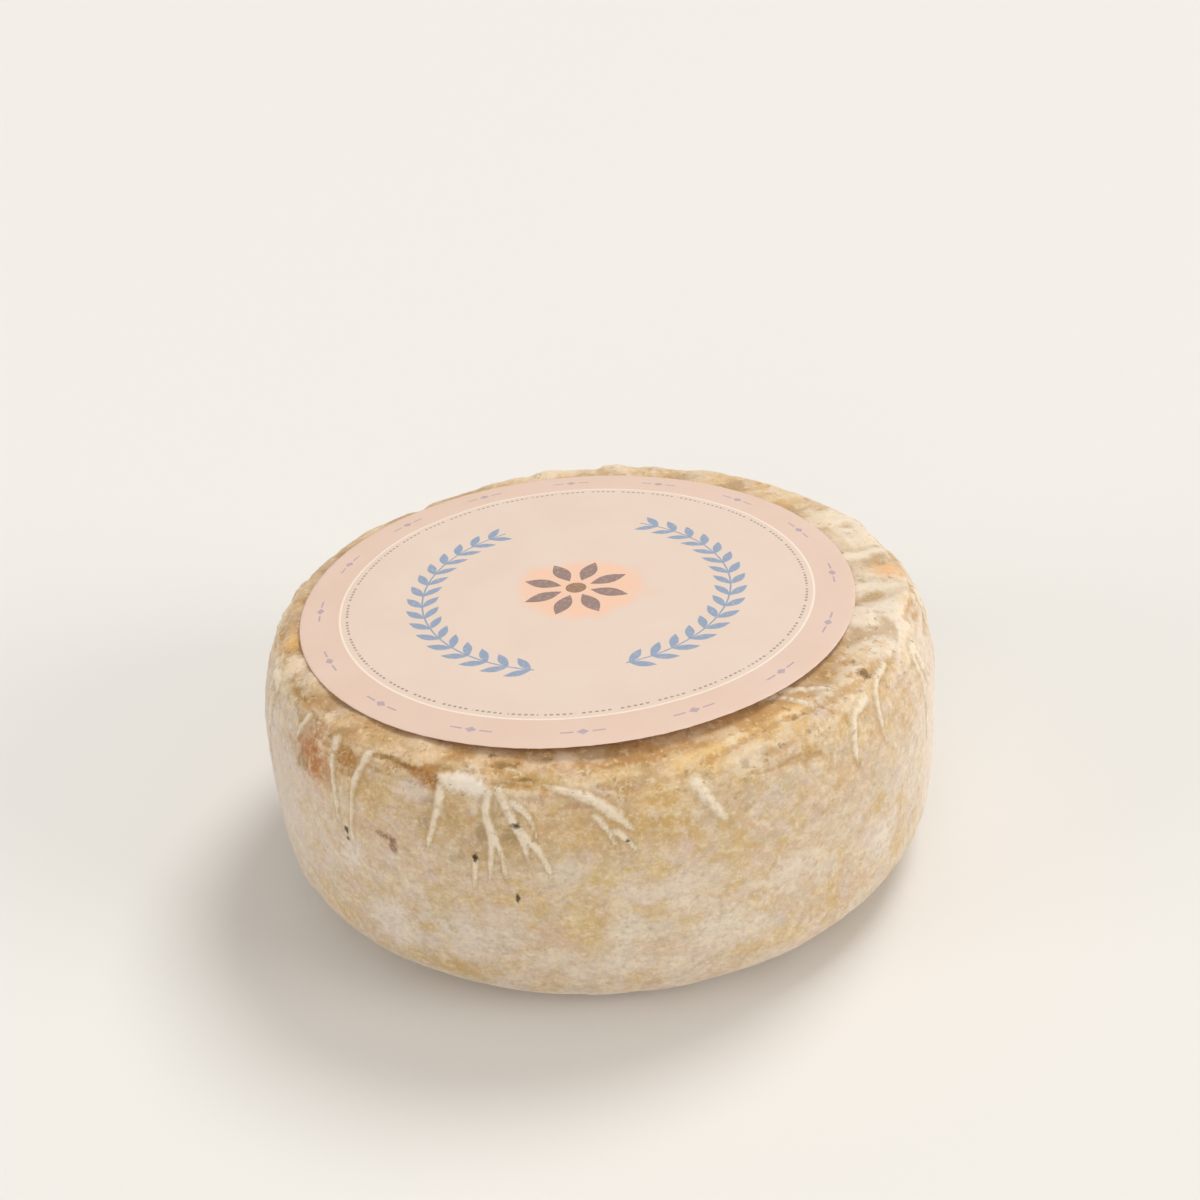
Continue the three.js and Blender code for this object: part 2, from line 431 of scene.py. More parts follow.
stain_and_shadow_depth = add(
    tree, "ShaderNodeMapRange",
    {"Value": frontal.outputs["Value"], "From Min": 0.55, "From Max": 1.0, "To Min": 0.3, "To Max": 0.9},
)
on_top = add(
    tree, "ShaderNodeMapRange",
    {"Value": height, "From Min": RIM_STAIN_AND_SHADOW_FOOT, "From Max": RIM_STAIN_AND_SHADOW_HEAD, "To Max": stain_and_shadow_depth},
    interpolation_type="SMOOTHSTEP",
)
waver = add(
    tree, "ShaderNodeMath", {0: ragged.outputs["Fac"], 1: RIM_STAIN_AND_SHADOW_WAVER, 2: off_label},
    operation="MULTIPLY_ADD",
)
cover = add(
    tree, "ShaderNodeMapRange",
    {
        "Value": waver, "From Min": LABEL_RADIUS + RIM_STAIN_AND_SHADOW_WIDTH, "From Max": LABEL_RADIUS + RIM_STAIN_AND_SHADOW_FULL,
        "To Max": on_top,
    },
    interpolation_type="SMOOTHSTEP",
)
# Brown of the damp stain, which is also painted shadow under the label's lifted front edge
colour = add(tree, "ShaderNodeMix", {"Factor": cover, "A": colour, "B": linear("B4844C")}, data_type="RGBA")

colour = lay_marks(colour, STRONG_MARKS, ragged, fray=2.6, blur=1.1)
colour = lay_shades(colour, WRINKLE_SHADES)
colour = lay_shades(colour, FOLD_TINTS_AND_PAINTED_SHADOW)
colour = lay_coats(colour, FINE_FLECKS, first_seed=22)
colour = lay_marks(colour, SPECKS, fine, fray=2.0, blur=0.8)

# The crust is rough, with a finer grain on it
grain = add(
    tree, "ShaderNodeTexNoise",
    {"Vector": place, "Scale": 1 / (1.4 * MM), "Detail": 4, "Roughness": 0.6},
)
crust = add(
    tree, "ShaderNodeTexNoise",
    {"Vector": brushed, "Scale": 1 / (5 * MM), "Detail": 3, "Roughness": 0.55},
)
rough_crust = add(
    tree, "ShaderNodeBump", {"Height": crust.outputs["Fac"], "Distance": 0.5 * MM, "Strength": 0.7},
)
rough_grain = add(
    tree, "ShaderNodeBump",
    {"Height": grain.outputs["Fac"], "Distance": 0.25 * MM, "Strength": 0.7, "Normal": rough_crust},
)
skin = add(
    tree, "ShaderNodeBsdfPrincipled",
    {
        "Base Color": colour, "Roughness": 0.85, "IOR": 1.45, "Specular IOR Level": 0.25,
        "Sheen Weight": 0.4, "Sheen Roughness": 0.4, "Sheen Tint": linear("F7F0E8"), "Normal": rough_grain,
    },
)
add(tree, "ShaderNodeOutputMaterial", {"Surface": skin})


def shaping_tree(name, sizes):
    """A tree of geometry nodes with an input for each size, which is a kind of socket and a value."""
    group = bpy.data.node_groups.new(name, "GeometryNodeTree")
    group.interface.new_socket("Geometry", in_out="OUTPUT", socket_type="NodeSocketGeometry")
    group.interface.new_socket("Geometry", in_out="INPUT", socket_type="NodeSocketGeometry")
    for size, (kind, value) in sizes.items():
        group.interface.new_socket(size, in_out="INPUT", socket_type=kind)
    return group


def shaped(name, node, group, sizes):
    """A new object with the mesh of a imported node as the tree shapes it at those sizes."""
    piece = bpy.data.objects.new(name, node.data.copy())
    bpy.context.scene.collection.objects.link(piece)
    modifier = piece.modifiers.new(group.name, "NODES")
    modifier.node_group = group
    for socket in group.interface.items_tree:
        if socket.name in sizes:
            modifier[socket.identifier] = sizes[socket.name][1]
    depsgraph = bpy.context.evaluated_depsgraph_get()
    mesh = bpy.data.meshes.new_from_object(
        piece.evaluated_get(depsgraph), preserve_all_data_layers=True, depsgraph=depsgraph,
    )
    piece.modifiers.remove(modifier)
    piece.data = mesh
    return piece


# The tree that makes the rind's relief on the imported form
RELIEF_SIZES = {
    "Fold Lines": ("NodeSocketObject", fold_lines),
    "Fold Height": ("NodeSocketFloat", 0.65 * MM),
    "Crease Lines": ("NodeSocketObject", crease_lines),
    "Crease Depth": ("NodeSocketFloat", 0.6 * MM),
    "Lump Span": ("NodeSocketFloat", 14 * MM),
    "Lump Height": ("NodeSocketFloat", 1.4 * MM),
    "Gather Span": ("NodeSocketFloat", 17 * MM),
    "Gather Height": ("NodeSocketFloat", 5 * MM),
    "Wrinkle Span": ("NodeSocketFloat", 3.2 * MM),
    "Wrinkle Height": ("NodeSocketFloat", 2.4 * MM),
    "Rind": ("NodeSocketMaterial", rind),
}
relief = shaping_tree("rind_relief", RELIEF_SIZES)
given = add(relief, "NodeGroupInput").outputs

# A net of points, finest where the folds are, thrown from the wheel's middle on to the smoothed solid
merged = add(relief, "GeometryNodeMergeByDistance", {"Geometry": given["Geometry"], "Distance": 0.01 * MM})
smooth = add(relief, "GeometryNodeSubdivisionSurface", {"Mesh": merged, "Level": 2})
NET_COLUMNS = 820
NET_BANDS = [(5, 61.5), (20, 17), (18, 12), (61, 24), (7, 4.5), (5, 61)]  # rows and degrees, from the foot up
net_rows = sum(rows for rows, degrees in NET_BANDS)
net = add(
    relief, "GeometryNodeMeshGrid",
    {"Size X": 1, "Size Y": 1, "Vertices X": NET_COLUMNS + 1, "Vertices Y": net_rows + 1},
)
net_place = add(relief, "GeometryNodeInputPosition")
net_axes = add(relief, "ShaderNodeSeparateXYZ", {0: net_place}).outputs
pitch = math.radians(-90)
first = 0
for rows, degrees in NET_BANDS:
    last = first + rows
    climb = add(
        relief, "ShaderNodeMapRange",
        {
            "Value": net_axes["Y"], "From Min": first / net_rows - 0.5, "From Max": last / net_rows - 0.5,
            "To Max": math.radians(degrees),
        },
    )
    pitch = add(relief, "ShaderNodeMath", {0: pitch, 1: climb}, operation="ADD")
    first = last
yaw = add(relief, "ShaderNodeMath", {0: net_axes["X"], 1: math.tau}, operation="MULTIPLY")
ray = add(relief, "ShaderNodeVectorRotate", {"Vector": (1, 0, 0), "Axis": (0, -1, 0), "Angle": pitch})
ray = add(relief, "ShaderNodeVectorRotate", {"Vector": ray, "Axis": (0, 0, 1), "Angle": yaw})
core = add(relief, "ShaderNodeCombineXYZ", {"Z": WHEEL_MIDDLE})
hit = add(
    relief, "GeometryNodeRaycast",
    {"Target Geometry": smooth, "Source Position": core, "Ray Direction": ray, "Ray Length": 1.0},
    data_type="FLOAT",
)
shape = add(
    relief, "GeometryNodeSetPosition",
    {"Geometry": net.outputs["Mesh"], "Position": hit.outputs["Hit Position"]},
)
shape = add(relief, "GeometryNodeMergeByDistance", {"Geometry": shape, "Distance": 0.01 * MM})
spot = add(relief, "GeometryNodeInputPosition")
out = add(relief, "GeometryNodeInputNormal")

# Folds stand up from the rind and creases sink into it, each fading towards the end of its line
FAR_OFF = 4.0
rise = 0
for attribute, lines, size, sign in (
    ("fold", "Fold Lines", "Fold Height", 1),
    ("crease", "Crease Lines", "Crease Depth", -1),
):
    drawn = add(relief, "GeometryNodeObjectInfo", {"Object": given[lines]})
    even = add(
        relief, "GeometryNodeResampleCurve", {"Curve": drawn.outputs["Geometry"], "Length": 0.8 * MM},
        mode="LENGTH",
    )
    along = add(relief, "GeometryNodeSplineParameter")
    fade = add(
        relief, "ShaderNodeMapRange",
        {"Value": along.outputs["Factor"], "From Min": 0.75, "From Max": 1.0, "To Max": 0.8},
        interpolation_type="SMOOTHSTEP",
    )
    traced = even
    for note, value in (("half_width", add(relief, "GeometryNodeInputRadius")), ("fade", fade)):
        traced = add(
            relief, "GeometryNodeStoreNamedAttribute",
            {"Geometry": traced, "Name": note, "Value": value},
            data_type="FLOAT", domain="POINT",
        )
    wires = add(relief, "GeometryNodeCurveToMesh", {"Curve": traced})
    near = add(
        relief, "GeometryNodeProximity", {"Geometry": wires, "Sample Position": spot},
        target_element="EDGES",
    )
    nearest = add(relief, "GeometryNodeSampleNearest", {"Geometry": wires, "Sample Position": spot})
    read = {}
    for note in ("half_width", "fade"):
        noted = add(relief, "GeometryNodeInputNamedAttribute", {"Name": note}, data_type="FLOAT")
        read[note] = add(
            relief, "GeometryNodeSampleIndex", {"Geometry": wires, "Value": noted, "Index": nearest},
            data_type="FLOAT",
        )
    share = add(
        relief, "ShaderNodeMath", {0: near.outputs["Distance"], 1: read["half_width"]},
        operation="DIVIDE",
    )
    share = add(relief, "ShaderNodeMath", {0: share, 1: read["fade"]}, operation="ADD")
    share = add(relief, "ShaderNodeMath", {0: share, 1: FAR_OFF}, operation="MINIMUM")
    shape = add(
        relief, "GeometryNodeStoreNamedAttribute", {"Geometry": shape, "Name": attribute, "Value": share},
        data_type="FLOAT", domain="POINT",
    )
    signed = add(relief, "ShaderNodeMath", {0: given[size], 1: sign}, operation="MULTIPLY")
    ridge = add(
        relief, "ShaderNodeMapRange", {"Value": share, "From Min": 1.4, "From Max": 0.1, "To Max": signed},
        interpolation_type="SMOOTHSTEP",
    )
    rise = add(relief, "ShaderNodeMath", {0: ridge, 1: rise}, operation="ADD")

# Lumps all over, gathers that run down over the shoulder, and wrinkles drawn out along it
lump_scale = add(relief, "ShaderNodeMath", {0: 1.0, 1: given["Lump Span"]}, operation="DIVIDE")
lumps = add(
    relief, "ShaderNodeTexNoise", {"Vector": spot, "Scale": lump_scale, "Detail": 3, "Roughness": 0.5},
)
lump = add(relief, "ShaderNodeMath", {0: lumps.outputs["Fac"], 1: 0.5}, operation="SUBTRACT")
rise = add(relief, "ShaderNodeMath", {0: lump, 1: given["Lump Height"], 2: rise}, operation="MULTIPLY_ADD")

axes = add(relief, "ShaderNodeSeparateXYZ", {0: spot}).outputs
shoulder = add(
    relief, "ShaderNodeMapRange", {"Value": axes["Z"], "From Min": 66 * MM, "From Max": 80 * MM},
    interpolation_type="SMOOTHSTEP",
)
BELLY_RADIUS = 110 * MM
sideways = add(relief, "ShaderNodeVectorMath", {0: spot, 1: (1, 1, 0)}, operation="MULTIPLY")
sideways = add(relief, "ShaderNodeVectorMath", {0: sideways}, operation="NORMALIZE")
sideways = add(relief, "ShaderNodeVectorMath", {0: sideways, "Scale": BELLY_RADIUS}, operation="SCALE")
GATHER_DRIFT = 0.35
drift = add(relief, "ShaderNodeVectorMath", {0: spot, "Scale": GATHER_DRIFT}, operation="SCALE")
gather_place = add(relief, "ShaderNodeVectorMath", {0: sideways, 1: drift}, operation="ADD")
frontal = add(relief, "ShaderNodeVectorMath", {0: sideways, 1: FRONT}, operation="DOT_PRODUCT")
to_side = add(
    relief, "ShaderNodeMapRange",
    {"Value": frontal.outputs["Value"], "From Min": 0.85 * BELLY_RADIUS, "From Max": 0.5 * BELLY_RADIUS},
    interpolation_type="SMOOTHSTEP",
)
GATHER_GROUP = 45 * MM
grouped = add(relief, "ShaderNodeTexNoise", {"Vector": spot, "Scale": 1 / GATHER_GROUP, "Detail": 1})
grouped = add(
    relief, "ShaderNodeMapRange",
    {"Value": grouped.outputs["Fac"], "From Min": 0.42, "From Max": 0.58, "To Max": to_side},
    interpolation_type="SMOOTHSTEP",
)
gathered = add(relief, "ShaderNodeMath", {0: grouped, 1: shoulder}, operation="MULTIPLY")
WRINKLE_STRETCH = 5
wrinkle_place = add(
    relief, "ShaderNodeVectorMath", {0: spot, 1: (1 / WRINKLE_STRETCH, 1 / WRINKLE_STRETCH, 1)},
    operation="MULTIPLY",
)
for pattern, where, extent in (("Gather", gather_place, gathered), ("Wrinkle", wrinkle_place, shoulder)):
    scale = add(relief, "ShaderNodeMath", {0: 1.0, 1: given[pattern + " Span"]}, operation="DIVIDE")
    noise = add(relief, "ShaderNodeTexNoise", {"Vector": where, "Scale": scale, "Detail": 2}).outputs["Fac"]
    swell = add(relief, "ShaderNodeMath", {0: noise, 1: 0.5}, operation="SUBTRACT")
    swell = add(relief, "ShaderNodeMath", {0: swell, 1: extent}, operation="MULTIPLY")
    shape = add(
        relief, "GeometryNodeStoreNamedAttribute",
        {"Geometry": shape, "Name": pattern.lower(), "Value": swell},
        data_type="FLOAT", domain="POINT",
    )
    rise = add(
        relief, "ShaderNodeMath", {0: swell, 1: given[pattern + " Height"], 2: rise},
        operation="MULTIPLY_ADD",
    )

# The relief dies out under the label and towards the flat foot
off_label = add(relief, "ShaderNodeVectorMath", {0: spot, 1: (*LABEL_CENTRE, 0)}, operation="SUBTRACT")
off_label = add(relief, "ShaderNodeVectorMath", {0: off_label, 1: (1, 1, 0)}, operation="MULTIPLY")
off_label = add(relief, "ShaderNodeVectorMath", {0: off_label}, operation="LENGTH").outputs["Value"]
bare = add(
    relief, "ShaderNodeMapRange",
    {"Value": off_label, "From Min": LABEL_RADIUS - 8 * MM, "From Max": LABEL_RADIUS + 2 * MM},
    interpolation_type="SMOOTHSTEP",
)
low_down = add(relief, "ShaderNodeMath", {0: axes["Z"], 1: 60 * MM}, operation="LESS_THAN")
open_rind = add(relief, "ShaderNodeMath", {0: bare, 1: low_down}, operation="MAXIMUM")
off_floor = add(
    relief, "ShaderNodeMapRange", {"Value": axes["Z"], "From Min": 0.3 * MM, "From Max": 8 * MM},
    interpolation_type="SMOOTHSTEP",
)
free = add(relief, "ShaderNodeMath", {0: open_rind, 1: off_floor}, operation="MULTIPLY")
rise = add(relief, "ShaderNodeMath", {0: rise, 1: free}, operation="MULTIPLY")
offset = add(relief, "ShaderNodeVectorMath", {0: out, "Scale": rise}, operation="SCALE")
shape = add(relief, "GeometryNodeSetPosition", {"Geometry": shape, "Offset": offset})
shape = add(relief, "GeometryNodeSetShadeSmooth", {"Geometry": shape})
shape = add(relief, "GeometryNodeRealizeInstances", {"Geometry": shape})
shape = add(relief, "GeometryNodeSetMaterial", {"Geometry": shape, "Material": given["Rind"]})
add(relief, "NodeGroupOutput", {"Geometry": shape})

wheel = shaped("wheel_in_rind", wheel_node, relief, RELIEF_SIZES)
for lines in (fold_lines, crease_lines):
    bpy.data.objects.remove(lines)
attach(wheel, "root")
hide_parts("cheese_wheel")

# The label is a round sheet of uncoated paper, printed in a few flat inks and pasted on the top of the wheel.
# The paste holds it down but for the front, where its edge has dried and lifts off the rind.
paper = bpy.data.materials.new("printed_label_paper")
paper.use_nodes = True
paper.node_tree.nodes.clear()
tree = paper.node_tree
place = add(tree, "ShaderNodeTexCoord").outputs["Object"]
from_centre = add(tree, "ShaderNodeVectorMath", {0: place, 1: (*LABEL_CENTRE, 0)}, operation="SUBTRACT")
in_mm = add(tree, "ShaderNodeVectorMath", {0: from_centre, 1: (1 / MM, 1 / MM, 0)}, operation="MULTIPLY")
radius = add(tree, "ShaderNodeVectorMath", {0: in_mm}, operation="LENGTH").outputs["Value"]
axes = add(tree, "ShaderNodeSeparateXYZ", {0: in_mm}).outputs
front = add(tree, "ShaderNodeMath", {0: axes["Y"], 1: -1}, operation="MULTIPLY")
turn = add(tree, "ShaderNodeMath", {0: axes["X"], 1: front}, operation="ARCTAN2")
half_turn = add(tree, "ShaderNodeMath", {0: turn}, operation="ABSOLUTE")

# Paper of the middle disc and of the border, a little uneven. Lengths in the print are in millimetres.
BORDER_RADIUS = 76.6
sheet_noise = add(
    tree, "ShaderNodeTexNoise", {"Vector": place, "Scale": 1 / (22 * MM), "Detail": 4, "Roughness": 0.6},
)
disc = add(
    tree, "ShaderNodeMix",
    {"Factor": sheet_noise.outputs["Fac"], "A": linear("DBC4B3"), "B": linear("E2CEBF")},
    data_type="RGBA",
)
border = add(
    tree, "ShaderNodeMix",
    {"Factor": sheet_noise.outputs["Fac"], "A": linear("D9BBA7"), "B": linear("E0C7B7")},
    data_type="RGBA",
)
in_border = add(tree, "ShaderNodeMath", {0: radius, 1: BORDER_RADIUS}, operation="GREATER_THAN")
colour = add(tree, "ShaderNodeMix", {"Factor": in_border, "A": disc, "B": border}, data_type="RGBA")

inks = []

# Hairline at the border's inner edge
HAIRLINE_HALF_WIDTH = 0.35
hairline = add(
    tree, "ShaderNodeMath", {0: radius, 1: BORDER_RADIUS, 2: HAIRLINE_HALF_WIDTH}, operation="COMPARE",
)
inks.append(("EFE0D0", hairline, 0.9))

# Ring of short dashes inside it, in groups. Dashes and groups each have their count and their inked share.
DASH_RADIUS = 74.3
DASH_HALF_WIDTH = 0.38
DASHES = (251, 0.55)
DASH_GROUPS = (43, 0.84)
on_ring = add(tree, "ShaderNodeMath", {0: radius, 1: DASH_RADIUS, 2: DASH_HALF_WIDTH}, operation="COMPARE")
for count, inked in (DASHES, DASH_GROUPS):
    step = add(tree, "ShaderNodeMath", {0: turn, 1: count / math.tau}, operation="MULTIPLY")
    step = add(tree, "ShaderNodeMath", {0: step}, operation="FRACT")
    dash = add(tree, "ShaderNodeMath", {0: step, 1: inked}, operation="LESS_THAN")
    on_ring = add(tree, "ShaderNodeMath", {0: on_ring, 1: dash}, operation="MULTIPLY")
inks.append(("8A7363", on_ring, 0.75))

# Small lozenges with a rule to each side, round the border
BORDER_MIDDLE = 83.3
ORNAMENTS = 16
LOZENGE_HALF_HEIGHT = 1.3
LOZENGE_SLOPE = 0.7
RULE_MIDDLE = 4.6
RULE_HALF_LENGTH = 1.9
RULE_HALF_WIDTH = 0.3
step = add(tree, "ShaderNodeMath", {0: turn, 1: ORNAMENTS / math.tau, 2: 0.5}, operation="MULTIPLY_ADD")
step = add(tree, "ShaderNodeMath", {0: step}, operation="FRACT")
step = add(tree, "ShaderNodeMath", {0: step, 1: 0.5}, operation="SUBTRACT")
step = add(tree, "ShaderNodeMath", {0: step}, operation="ABSOLUTE")
along = add(
    tree, "ShaderNodeMath", {0: step, 1: BORDER_MIDDLE * math.tau / ORNAMENTS}, operation="MULTIPLY",
)
across = add(tree, "ShaderNodeMath", {0: radius, 1: BORDER_MIDDLE}, operation="SUBTRACT")
across = add(tree, "ShaderNodeMath", {0: across}, operation="ABSOLUTE")
slope = add(tree, "ShaderNodeMath", {0: along, 1: LOZENGE_SLOPE, 2: across}, operation="MULTIPLY_ADD")
lozenge = add(tree, "ShaderNodeMath", {0: slope, 1: LOZENGE_HALF_HEIGHT}, operation="LESS_THAN")
rule = add(tree, "ShaderNodeMath", {0: along, 1: RULE_MIDDLE, 2: RULE_HALF_LENGTH}, operation="COMPARE")
thin = add(tree, "ShaderNodeMath", {0: across, 1: RULE_HALF_WIDTH}, operation="LESS_THAN")
rule = add(tree, "ShaderNodeMath", {0: rule, 1: thin}, operation="MULTIPLY")
ornament = add(tree, "ShaderNodeMath", {0: lozenge, 1: rule}, operation="MAXIMUM")
inks.append(("A796A4", ornament, 0.8))

# Wreath of slanting leaf pairs on a round stem, open at the back
WREATH_RADIUS = 50
LEAF_PITCH = 7.4
LEAF_LENGTH = 8.6
LEAF_HALF_WIDTH = 1.5
LEAF_SLANT = math.radians(38)
STEM_HALF_WIDTH = 0.3
WREATH_MIDDLE = math.radians(84)
WREATH_REACH = math.radians(68)
stretch = add(tree, "ShaderNodeMath", {0: half_turn, 1: WREATH_RADIUS / LEAF_PITCH}, operation="MULTIPLY")
stretch = add(tree, "ShaderNodeMath", {0: stretch}, operation="FRACT")
along = add(tree, "ShaderNodeMath", {0: stretch, 1: LEAF_PITCH}, operation="MULTIPLY")
across = add(tree, "ShaderNodeMath", {0: radius, 1: WREATH_RADIUS}, operation="SUBTRACT")
across = add(tree, "ShaderNodeMath", {0: across}, operation="ABSOLUTE")
lean = add(tree, "ShaderNodeMath", {0: across, 1: math.sin(LEAF_SLANT)}, operation="MULTIPLY")
down_leaf = add(
    tree, "ShaderNodeMath", {0: along, 1: math.cos(LEAF_SLANT), 2: lean}, operation="MULTIPLY_ADD",
)
lean = add(tree, "ShaderNodeMath", {0: across, 1: math.cos(LEAF_SLANT)}, operation="MULTIPLY")
off_leaf = add(
    tree, "ShaderNodeMath", {0: along, 1: -math.sin(LEAF_SLANT), 2: lean}, operation="MULTIPLY_ADD",
)
off_leaf = add(tree, "ShaderNodeMath", {0: off_leaf}, operation="ABSOLUTE")
swell = add(tree, "ShaderNodeMath", {0: down_leaf, 1: math.pi / LEAF_LENGTH}, operation="MULTIPLY")
swell = add(tree, "ShaderNodeMath", {0: swell}, operation="SINE")
swell = add(tree, "ShaderNodeMath", {0: swell, 1: LEAF_HALF_WIDTH}, operation="MULTIPLY")
leaf = add(tree, "ShaderNodeMath", {0: off_leaf, 1: swell}, operation="LESS_THAN")
stem = add(tree, "ShaderNodeMath", {0: across, 1: STEM_HALF_WIDTH}, operation="LESS_THAN")
wreath = add(tree, "ShaderNodeMath", {0: leaf, 1: stem}, operation="MAXIMUM")
reach = add(tree, "ShaderNodeMath", {0: half_turn, 1: WREATH_MIDDLE, 2: WREATH_REACH}, operation="COMPARE")
wreath = add(tree, "ShaderNodeMath", {0: wreath, 1: reach}, operation="MULTIPLY")
inks.append(("7793B2", wreath, 0.85))

# Open flower in the middle, on a soft wash
PETALS = 8
PETAL_START = 5
PETAL_LENGTH = 13
PETAL_HALF_WIDTH = 2.7
FLOWER_RADIUS = 18.2
HEART_RADIUS = 3.4
step = add(tree, "ShaderNodeMath", {0: turn, 1: PETALS / math.tau}, operation="MULTIPLY")
step = add(tree, "ShaderNodeMath", {0: step}, operation="FRACT")
step = add(tree, "ShaderNodeMath", {0: step, 1: 0.5}, operation="SUBTRACT")
step = add(tree, "ShaderNodeMath", {0: step, 1: math.tau / PETALS}, operation="MULTIPLY")
along = add(tree, "ShaderNodeMath", {0: step}, operation="COSINE")
along = add(tree, "ShaderNodeMath", {0: along, 1: radius}, operation="MULTIPLY")
across = add(tree, "ShaderNodeMath", {0: step}, operation="SINE")
across = add(tree, "ShaderNodeMath", {0: across, 1: radius}, operation="MULTIPLY")
across = add(tree, "ShaderNodeMath", {0: across}, operation="ABSOLUTE")
swell = add(tree, "ShaderNodeMath", {0: along, 1: PETAL_START}, operation="SUBTRACT")
swell = add(tree, "ShaderNodeMath", {0: swell, 1: math.pi / PETAL_LENGTH}, operation="MULTIPLY")
swell = add(tree, "ShaderNodeMath", {0: swell}, operation="SINE")
swell = add(tree, "ShaderNodeMath", {0: swell, 1: PETAL_HALF_WIDTH}, operation="MULTIPLY")
petal = add(tree, "ShaderNodeMath", {0: across, 1: swell}, operation="LESS_THAN")
inside = add(tree, "ShaderNodeMath", {0: radius, 1: FLOWER_RADIUS}, operation="LESS_THAN")
petal = add(tree, "ShaderNodeMath", {0: petal, 1: inside}, operation="MULTIPLY")
wash = add(
    tree, "ShaderNodeMath", {0: sheet_noise.outputs["Fac"], 1: 26, 2: radius}, operation="MULTIPLY_ADD",
)
wash = add(
    tree, "ShaderNodeMapRange", {"Value": wash, "From Min": 36, "From Max": 28},
    interpolation_type="SMOOTHSTEP",
)
heart = add(tree, "ShaderNodeMath", {0: radius, 1: HEART_RADIUS}, operation="LESS_THAN")
inks.append(("EFBFA0", wash, 0.75))
inks.append(("6B5D60", petal, 0.8))
inks.append(("8A6A50", heart, 0.9))

# The inks are laid in turn, each a little worn by the paper's grain
ink_noise = add(
    tree, "ShaderNodeTexNoise", {"Vector": place, "Scale": 1 / (1.2 * MM), "Detail": 3, "Roughness": 0.6},
)
worn = add(
    tree, "ShaderNodeMapRange",
    {"Value": ink_noise.outputs["Fac"], "From Min": 0.2, "From Max": 0.5, "To Min": 0.6},
)
for ink, drawn, strength in inks:
    laid = add(tree, "ShaderNodeMath", {0: drawn, 1: strength}, operation="MULTIPLY")
    laid = add(tree, "ShaderNodeMath", {0: laid, 1: worn}, operation="MULTIPLY")
    colour = add(tree, "ShaderNodeMix", {"Factor": laid, "A": colour, "B": linear(ink)}, data_type="RGBA")

fibre = add(
    tree, "ShaderNodeTexNoise", {"Vector": place, "Scale": 1 / (0.8 * MM), "Detail": 4, "Roughness": 0.7},
)
tooth = add(tree, "ShaderNodeBump", {"Height": fibre.outputs["Fac"], "Distance": 0.05 * MM, "Strength": 0.5})
sheet = add(
    tree, "ShaderNodeBsdfPrincipled",
    {"Base Color": colour, "Roughness": 0.62, "IOR": 1.5, "Specular IOR Level": 0.35, "Normal": tooth},
)
add(tree, "ShaderNodeOutputMaterial", {"Surface": sheet})

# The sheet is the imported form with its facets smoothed, and cockled a little by the damp rind
COCKLE_SIZES = {
    "Cockle Span": ("NodeSocketFloat", 30 * MM),
    "Cockle Height": ("NodeSocketFloat", 0.5 * MM),
    "Paper": ("NodeSocketMaterial", paper),
}
cockle = shaping_tree("label_cockle", COCKLE_SIZES)
given = add(cockle, "NodeGroupInput").outputs
shape = add(cockle, "GeometryNodeMergeByDistance", {"Geometry": given["Geometry"], "Distance": 0.01 * MM})
shape = add(cockle, "GeometryNodeSubdivisionSurface", {"Mesh": shape, "Level": 2, "Edge Crease": 0})
spot = add(cockle, "GeometryNodeInputPosition")
flat = add(cockle, "ShaderNodeVectorMath", {0: spot, 1: (1, 1, 0)}, operation="MULTIPLY")
cockle_scale = add(cockle, "ShaderNodeMath", {0: 1.0, 1: given["Cockle Span"]}, operation="DIVIDE")
waves = add(cockle, "ShaderNodeTexNoise", {"Vector": flat, "Scale": cockle_scale, "Detail": 1})
lift = add(
    cockle, "ShaderNodeMath", {0: waves.outputs["Fac"], 1: given["Cockle Height"]}, operation="MULTIPLY",
)
lift = add(cockle, "ShaderNodeCombineXYZ", {"Z": lift})
shape = add(cockle, "GeometryNodeSetPosition", {"Geometry": shape, "Offset": lift})
shape = add(cockle, "GeometryNodeSetShadeSmooth", {"Geometry": shape})
shape = add(cockle, "GeometryNodeRealizeInstances", {"Geometry": shape})
shape = add(cockle, "GeometryNodeSetMaterial", {"Geometry": shape, "Material": given["Paper"]})
add(cockle, "NodeGroupOutput", {"Geometry": shape})

label = shaped("round_label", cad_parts["paper_label"], cockle, COCKLE_SIZES)
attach(label, "root")
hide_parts("paper_label")

# The floor is a sheet of pale studio paper under the wheel
FLOOR_SIDE = 60
floor_mesh = bpy.data.meshes.new("studio_floor")
half = FLOOR_SIDE / 2
corners = [(-half, -half, 0), (half, -half, 0), (half, half, 0), (-half, half, 0)]
floor_mesh.from_pydata(corners, [], [(0, 1, 2, 3)])
floor = bpy.data.objects.new("studio_floor", floor_mesh)
bpy.context.scene.collection.objects.link(floor)
floor_paper = bpy.data.materials.new("pale_studio_paper")
floor_paper.use_nodes = True
floor_paper.node_tree.nodes.clear()
tree = floor_paper.node_tree
floor_skin = add(tree, "ShaderNodeBsdfPrincipled", {"Base Color": linear("E4E1DC"), "Roughness": 0.9})
add(tree, "ShaderNodeOutputMaterial", {"Surface": floor_skin})
floor_mesh.materials.append(floor_paper)

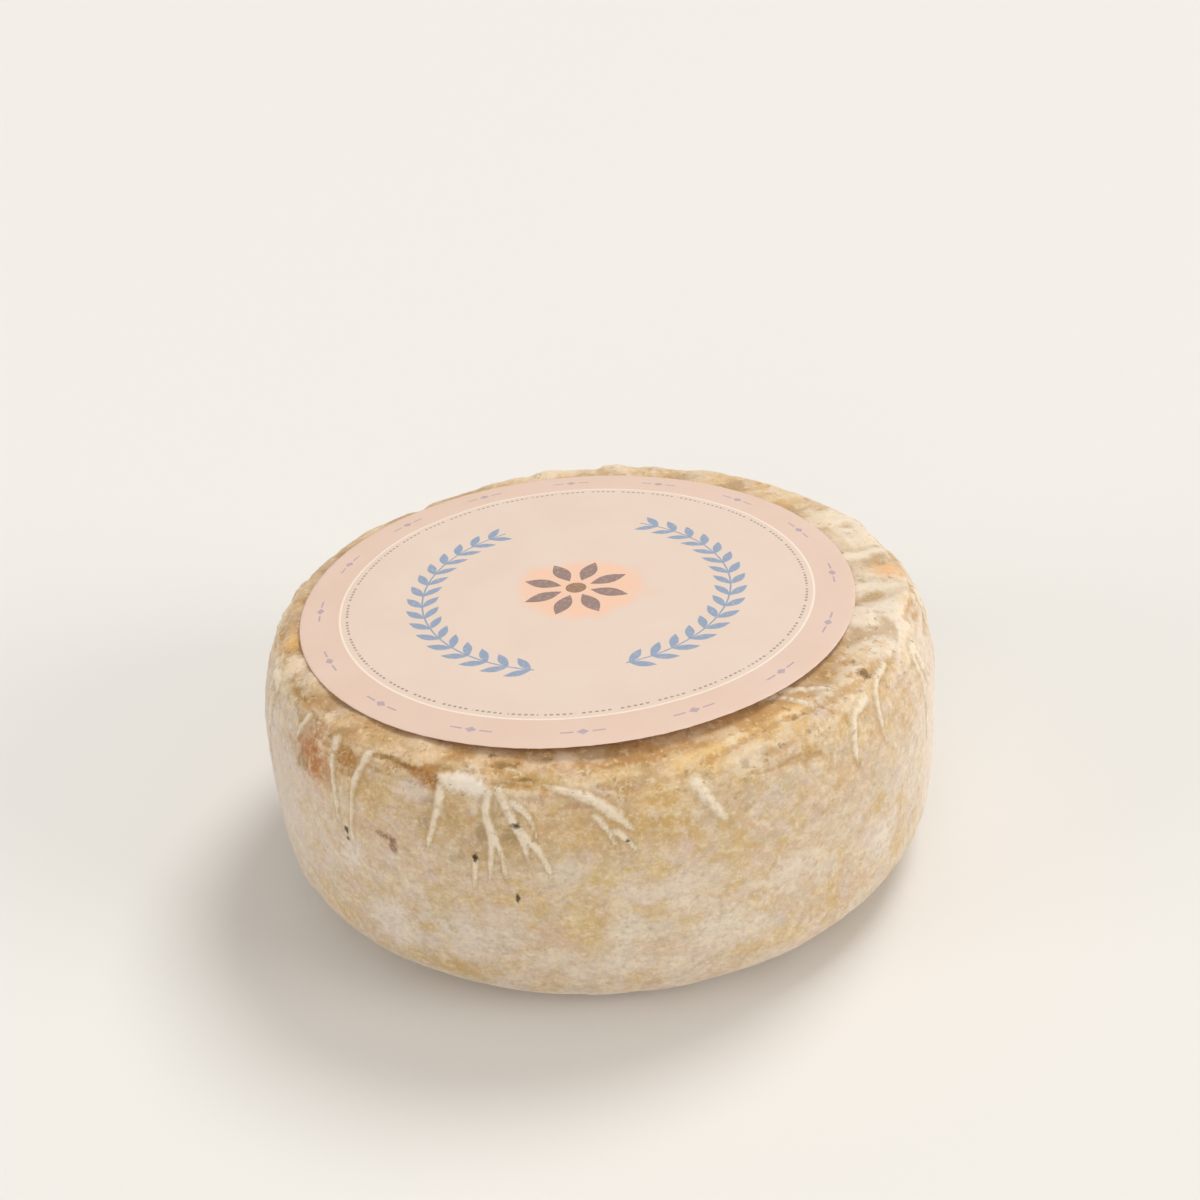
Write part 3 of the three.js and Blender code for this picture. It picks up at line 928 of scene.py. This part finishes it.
# Soft studio light: a wide lamp above and behind on the right, weaker ones from the front and sides, and a
# pale room, as bright as the floor where it is seen. The lamps are far off and light the floor evenly. Each
# has the side it stands on, its width as seen from the wheel in degrees, and its strength.
room = bpy.data.worlds.new("pale_room")
room.use_nodes = True
room.node_tree.nodes.clear()
tree = room.node_tree
seen = add(tree, "ShaderNodeLightPath").outputs["Is Camera Ray"]
ROOM_LIGHT = 0.55
ROOM_SEEN = 0.96
glow = add(tree, "ShaderNodeMapRange", {"Value": seen, "To Min": ROOM_LIGHT, "To Max": ROOM_SEEN})
walls = add(tree, "ShaderNodeBackground", {"Color": linear("F6F3EE"), "Strength": glow})
add(tree, "ShaderNodeOutputWorld", {"Surface": walls})
bpy.context.scene.world = room
LAMPS = [
    ("back_right_softbox", (0.45, 0.50, 1.00), 24, 1.48),
    ("front_fill", (-0.3, -1.4, 0.75), 42, 0.45),
    ("right_strip", (1.0, -0.4, 0.35), 30, 1.32),
    ("left_strip", (-1.0, -0.3, 0.35), 30, 0.62),
]
for name, side, width, strength in LAMPS:
    lamp = bpy.data.lights.new(name, "SUN")
    lamp.angle = math.radians(width)
    lamp.energy = strength
    lamp_object = bpy.data.objects.new(name, lamp)
    lamp_object.rotation_euler = Vector(side).to_track_quat("Z", "Y").to_euler()
    bpy.context.scene.collection.objects.link(lamp_object)

# The camera looks down on the wheel from the front, a little rolled
VIEW_ELEVATION = math.radians(29.12)
VIEW_ROLL = math.radians(4.26)
VIEW_DISTANCE = 5.0465 * BELLY_RADIUS
VIEW_SHIFT = Vector((0.0179 * BELLY_RADIUS, 0.3207 * BELLY_RADIUS))
VIEW_HEIGHT = 0.39 * BELLY_RADIUS
back = Vector((0, -math.cos(VIEW_ELEVATION), math.sin(VIEW_ELEVATION)))
right = Vector((1, 0, 0))
up = back.cross(right)
eye = Vector((0, 0, VIEW_HEIGHT)) + back * VIEW_DISTANCE + right * VIEW_SHIFT.x + up * VIEW_SHIFT.y
across = math.cos(VIEW_ROLL) * right - math.sin(VIEW_ROLL) * up
upward = math.sin(VIEW_ROLL) * right + math.cos(VIEW_ROLL) * up
lens = bpy.data.cameras.new("camera")
lens.sensor_width = 36
lens.lens = 49.2
lens.clip_start = 0.01
camera = bpy.data.objects.new("camera", lens)
camera.matrix_world = Matrix.Translation(eye) @ Matrix((across, upward, back)).transposed().to_4x4()
bpy.context.scene.collection.objects.link(camera)
bpy.context.scene.camera = camera
bpy.context.scene.view_settings.view_transform = "Standard"
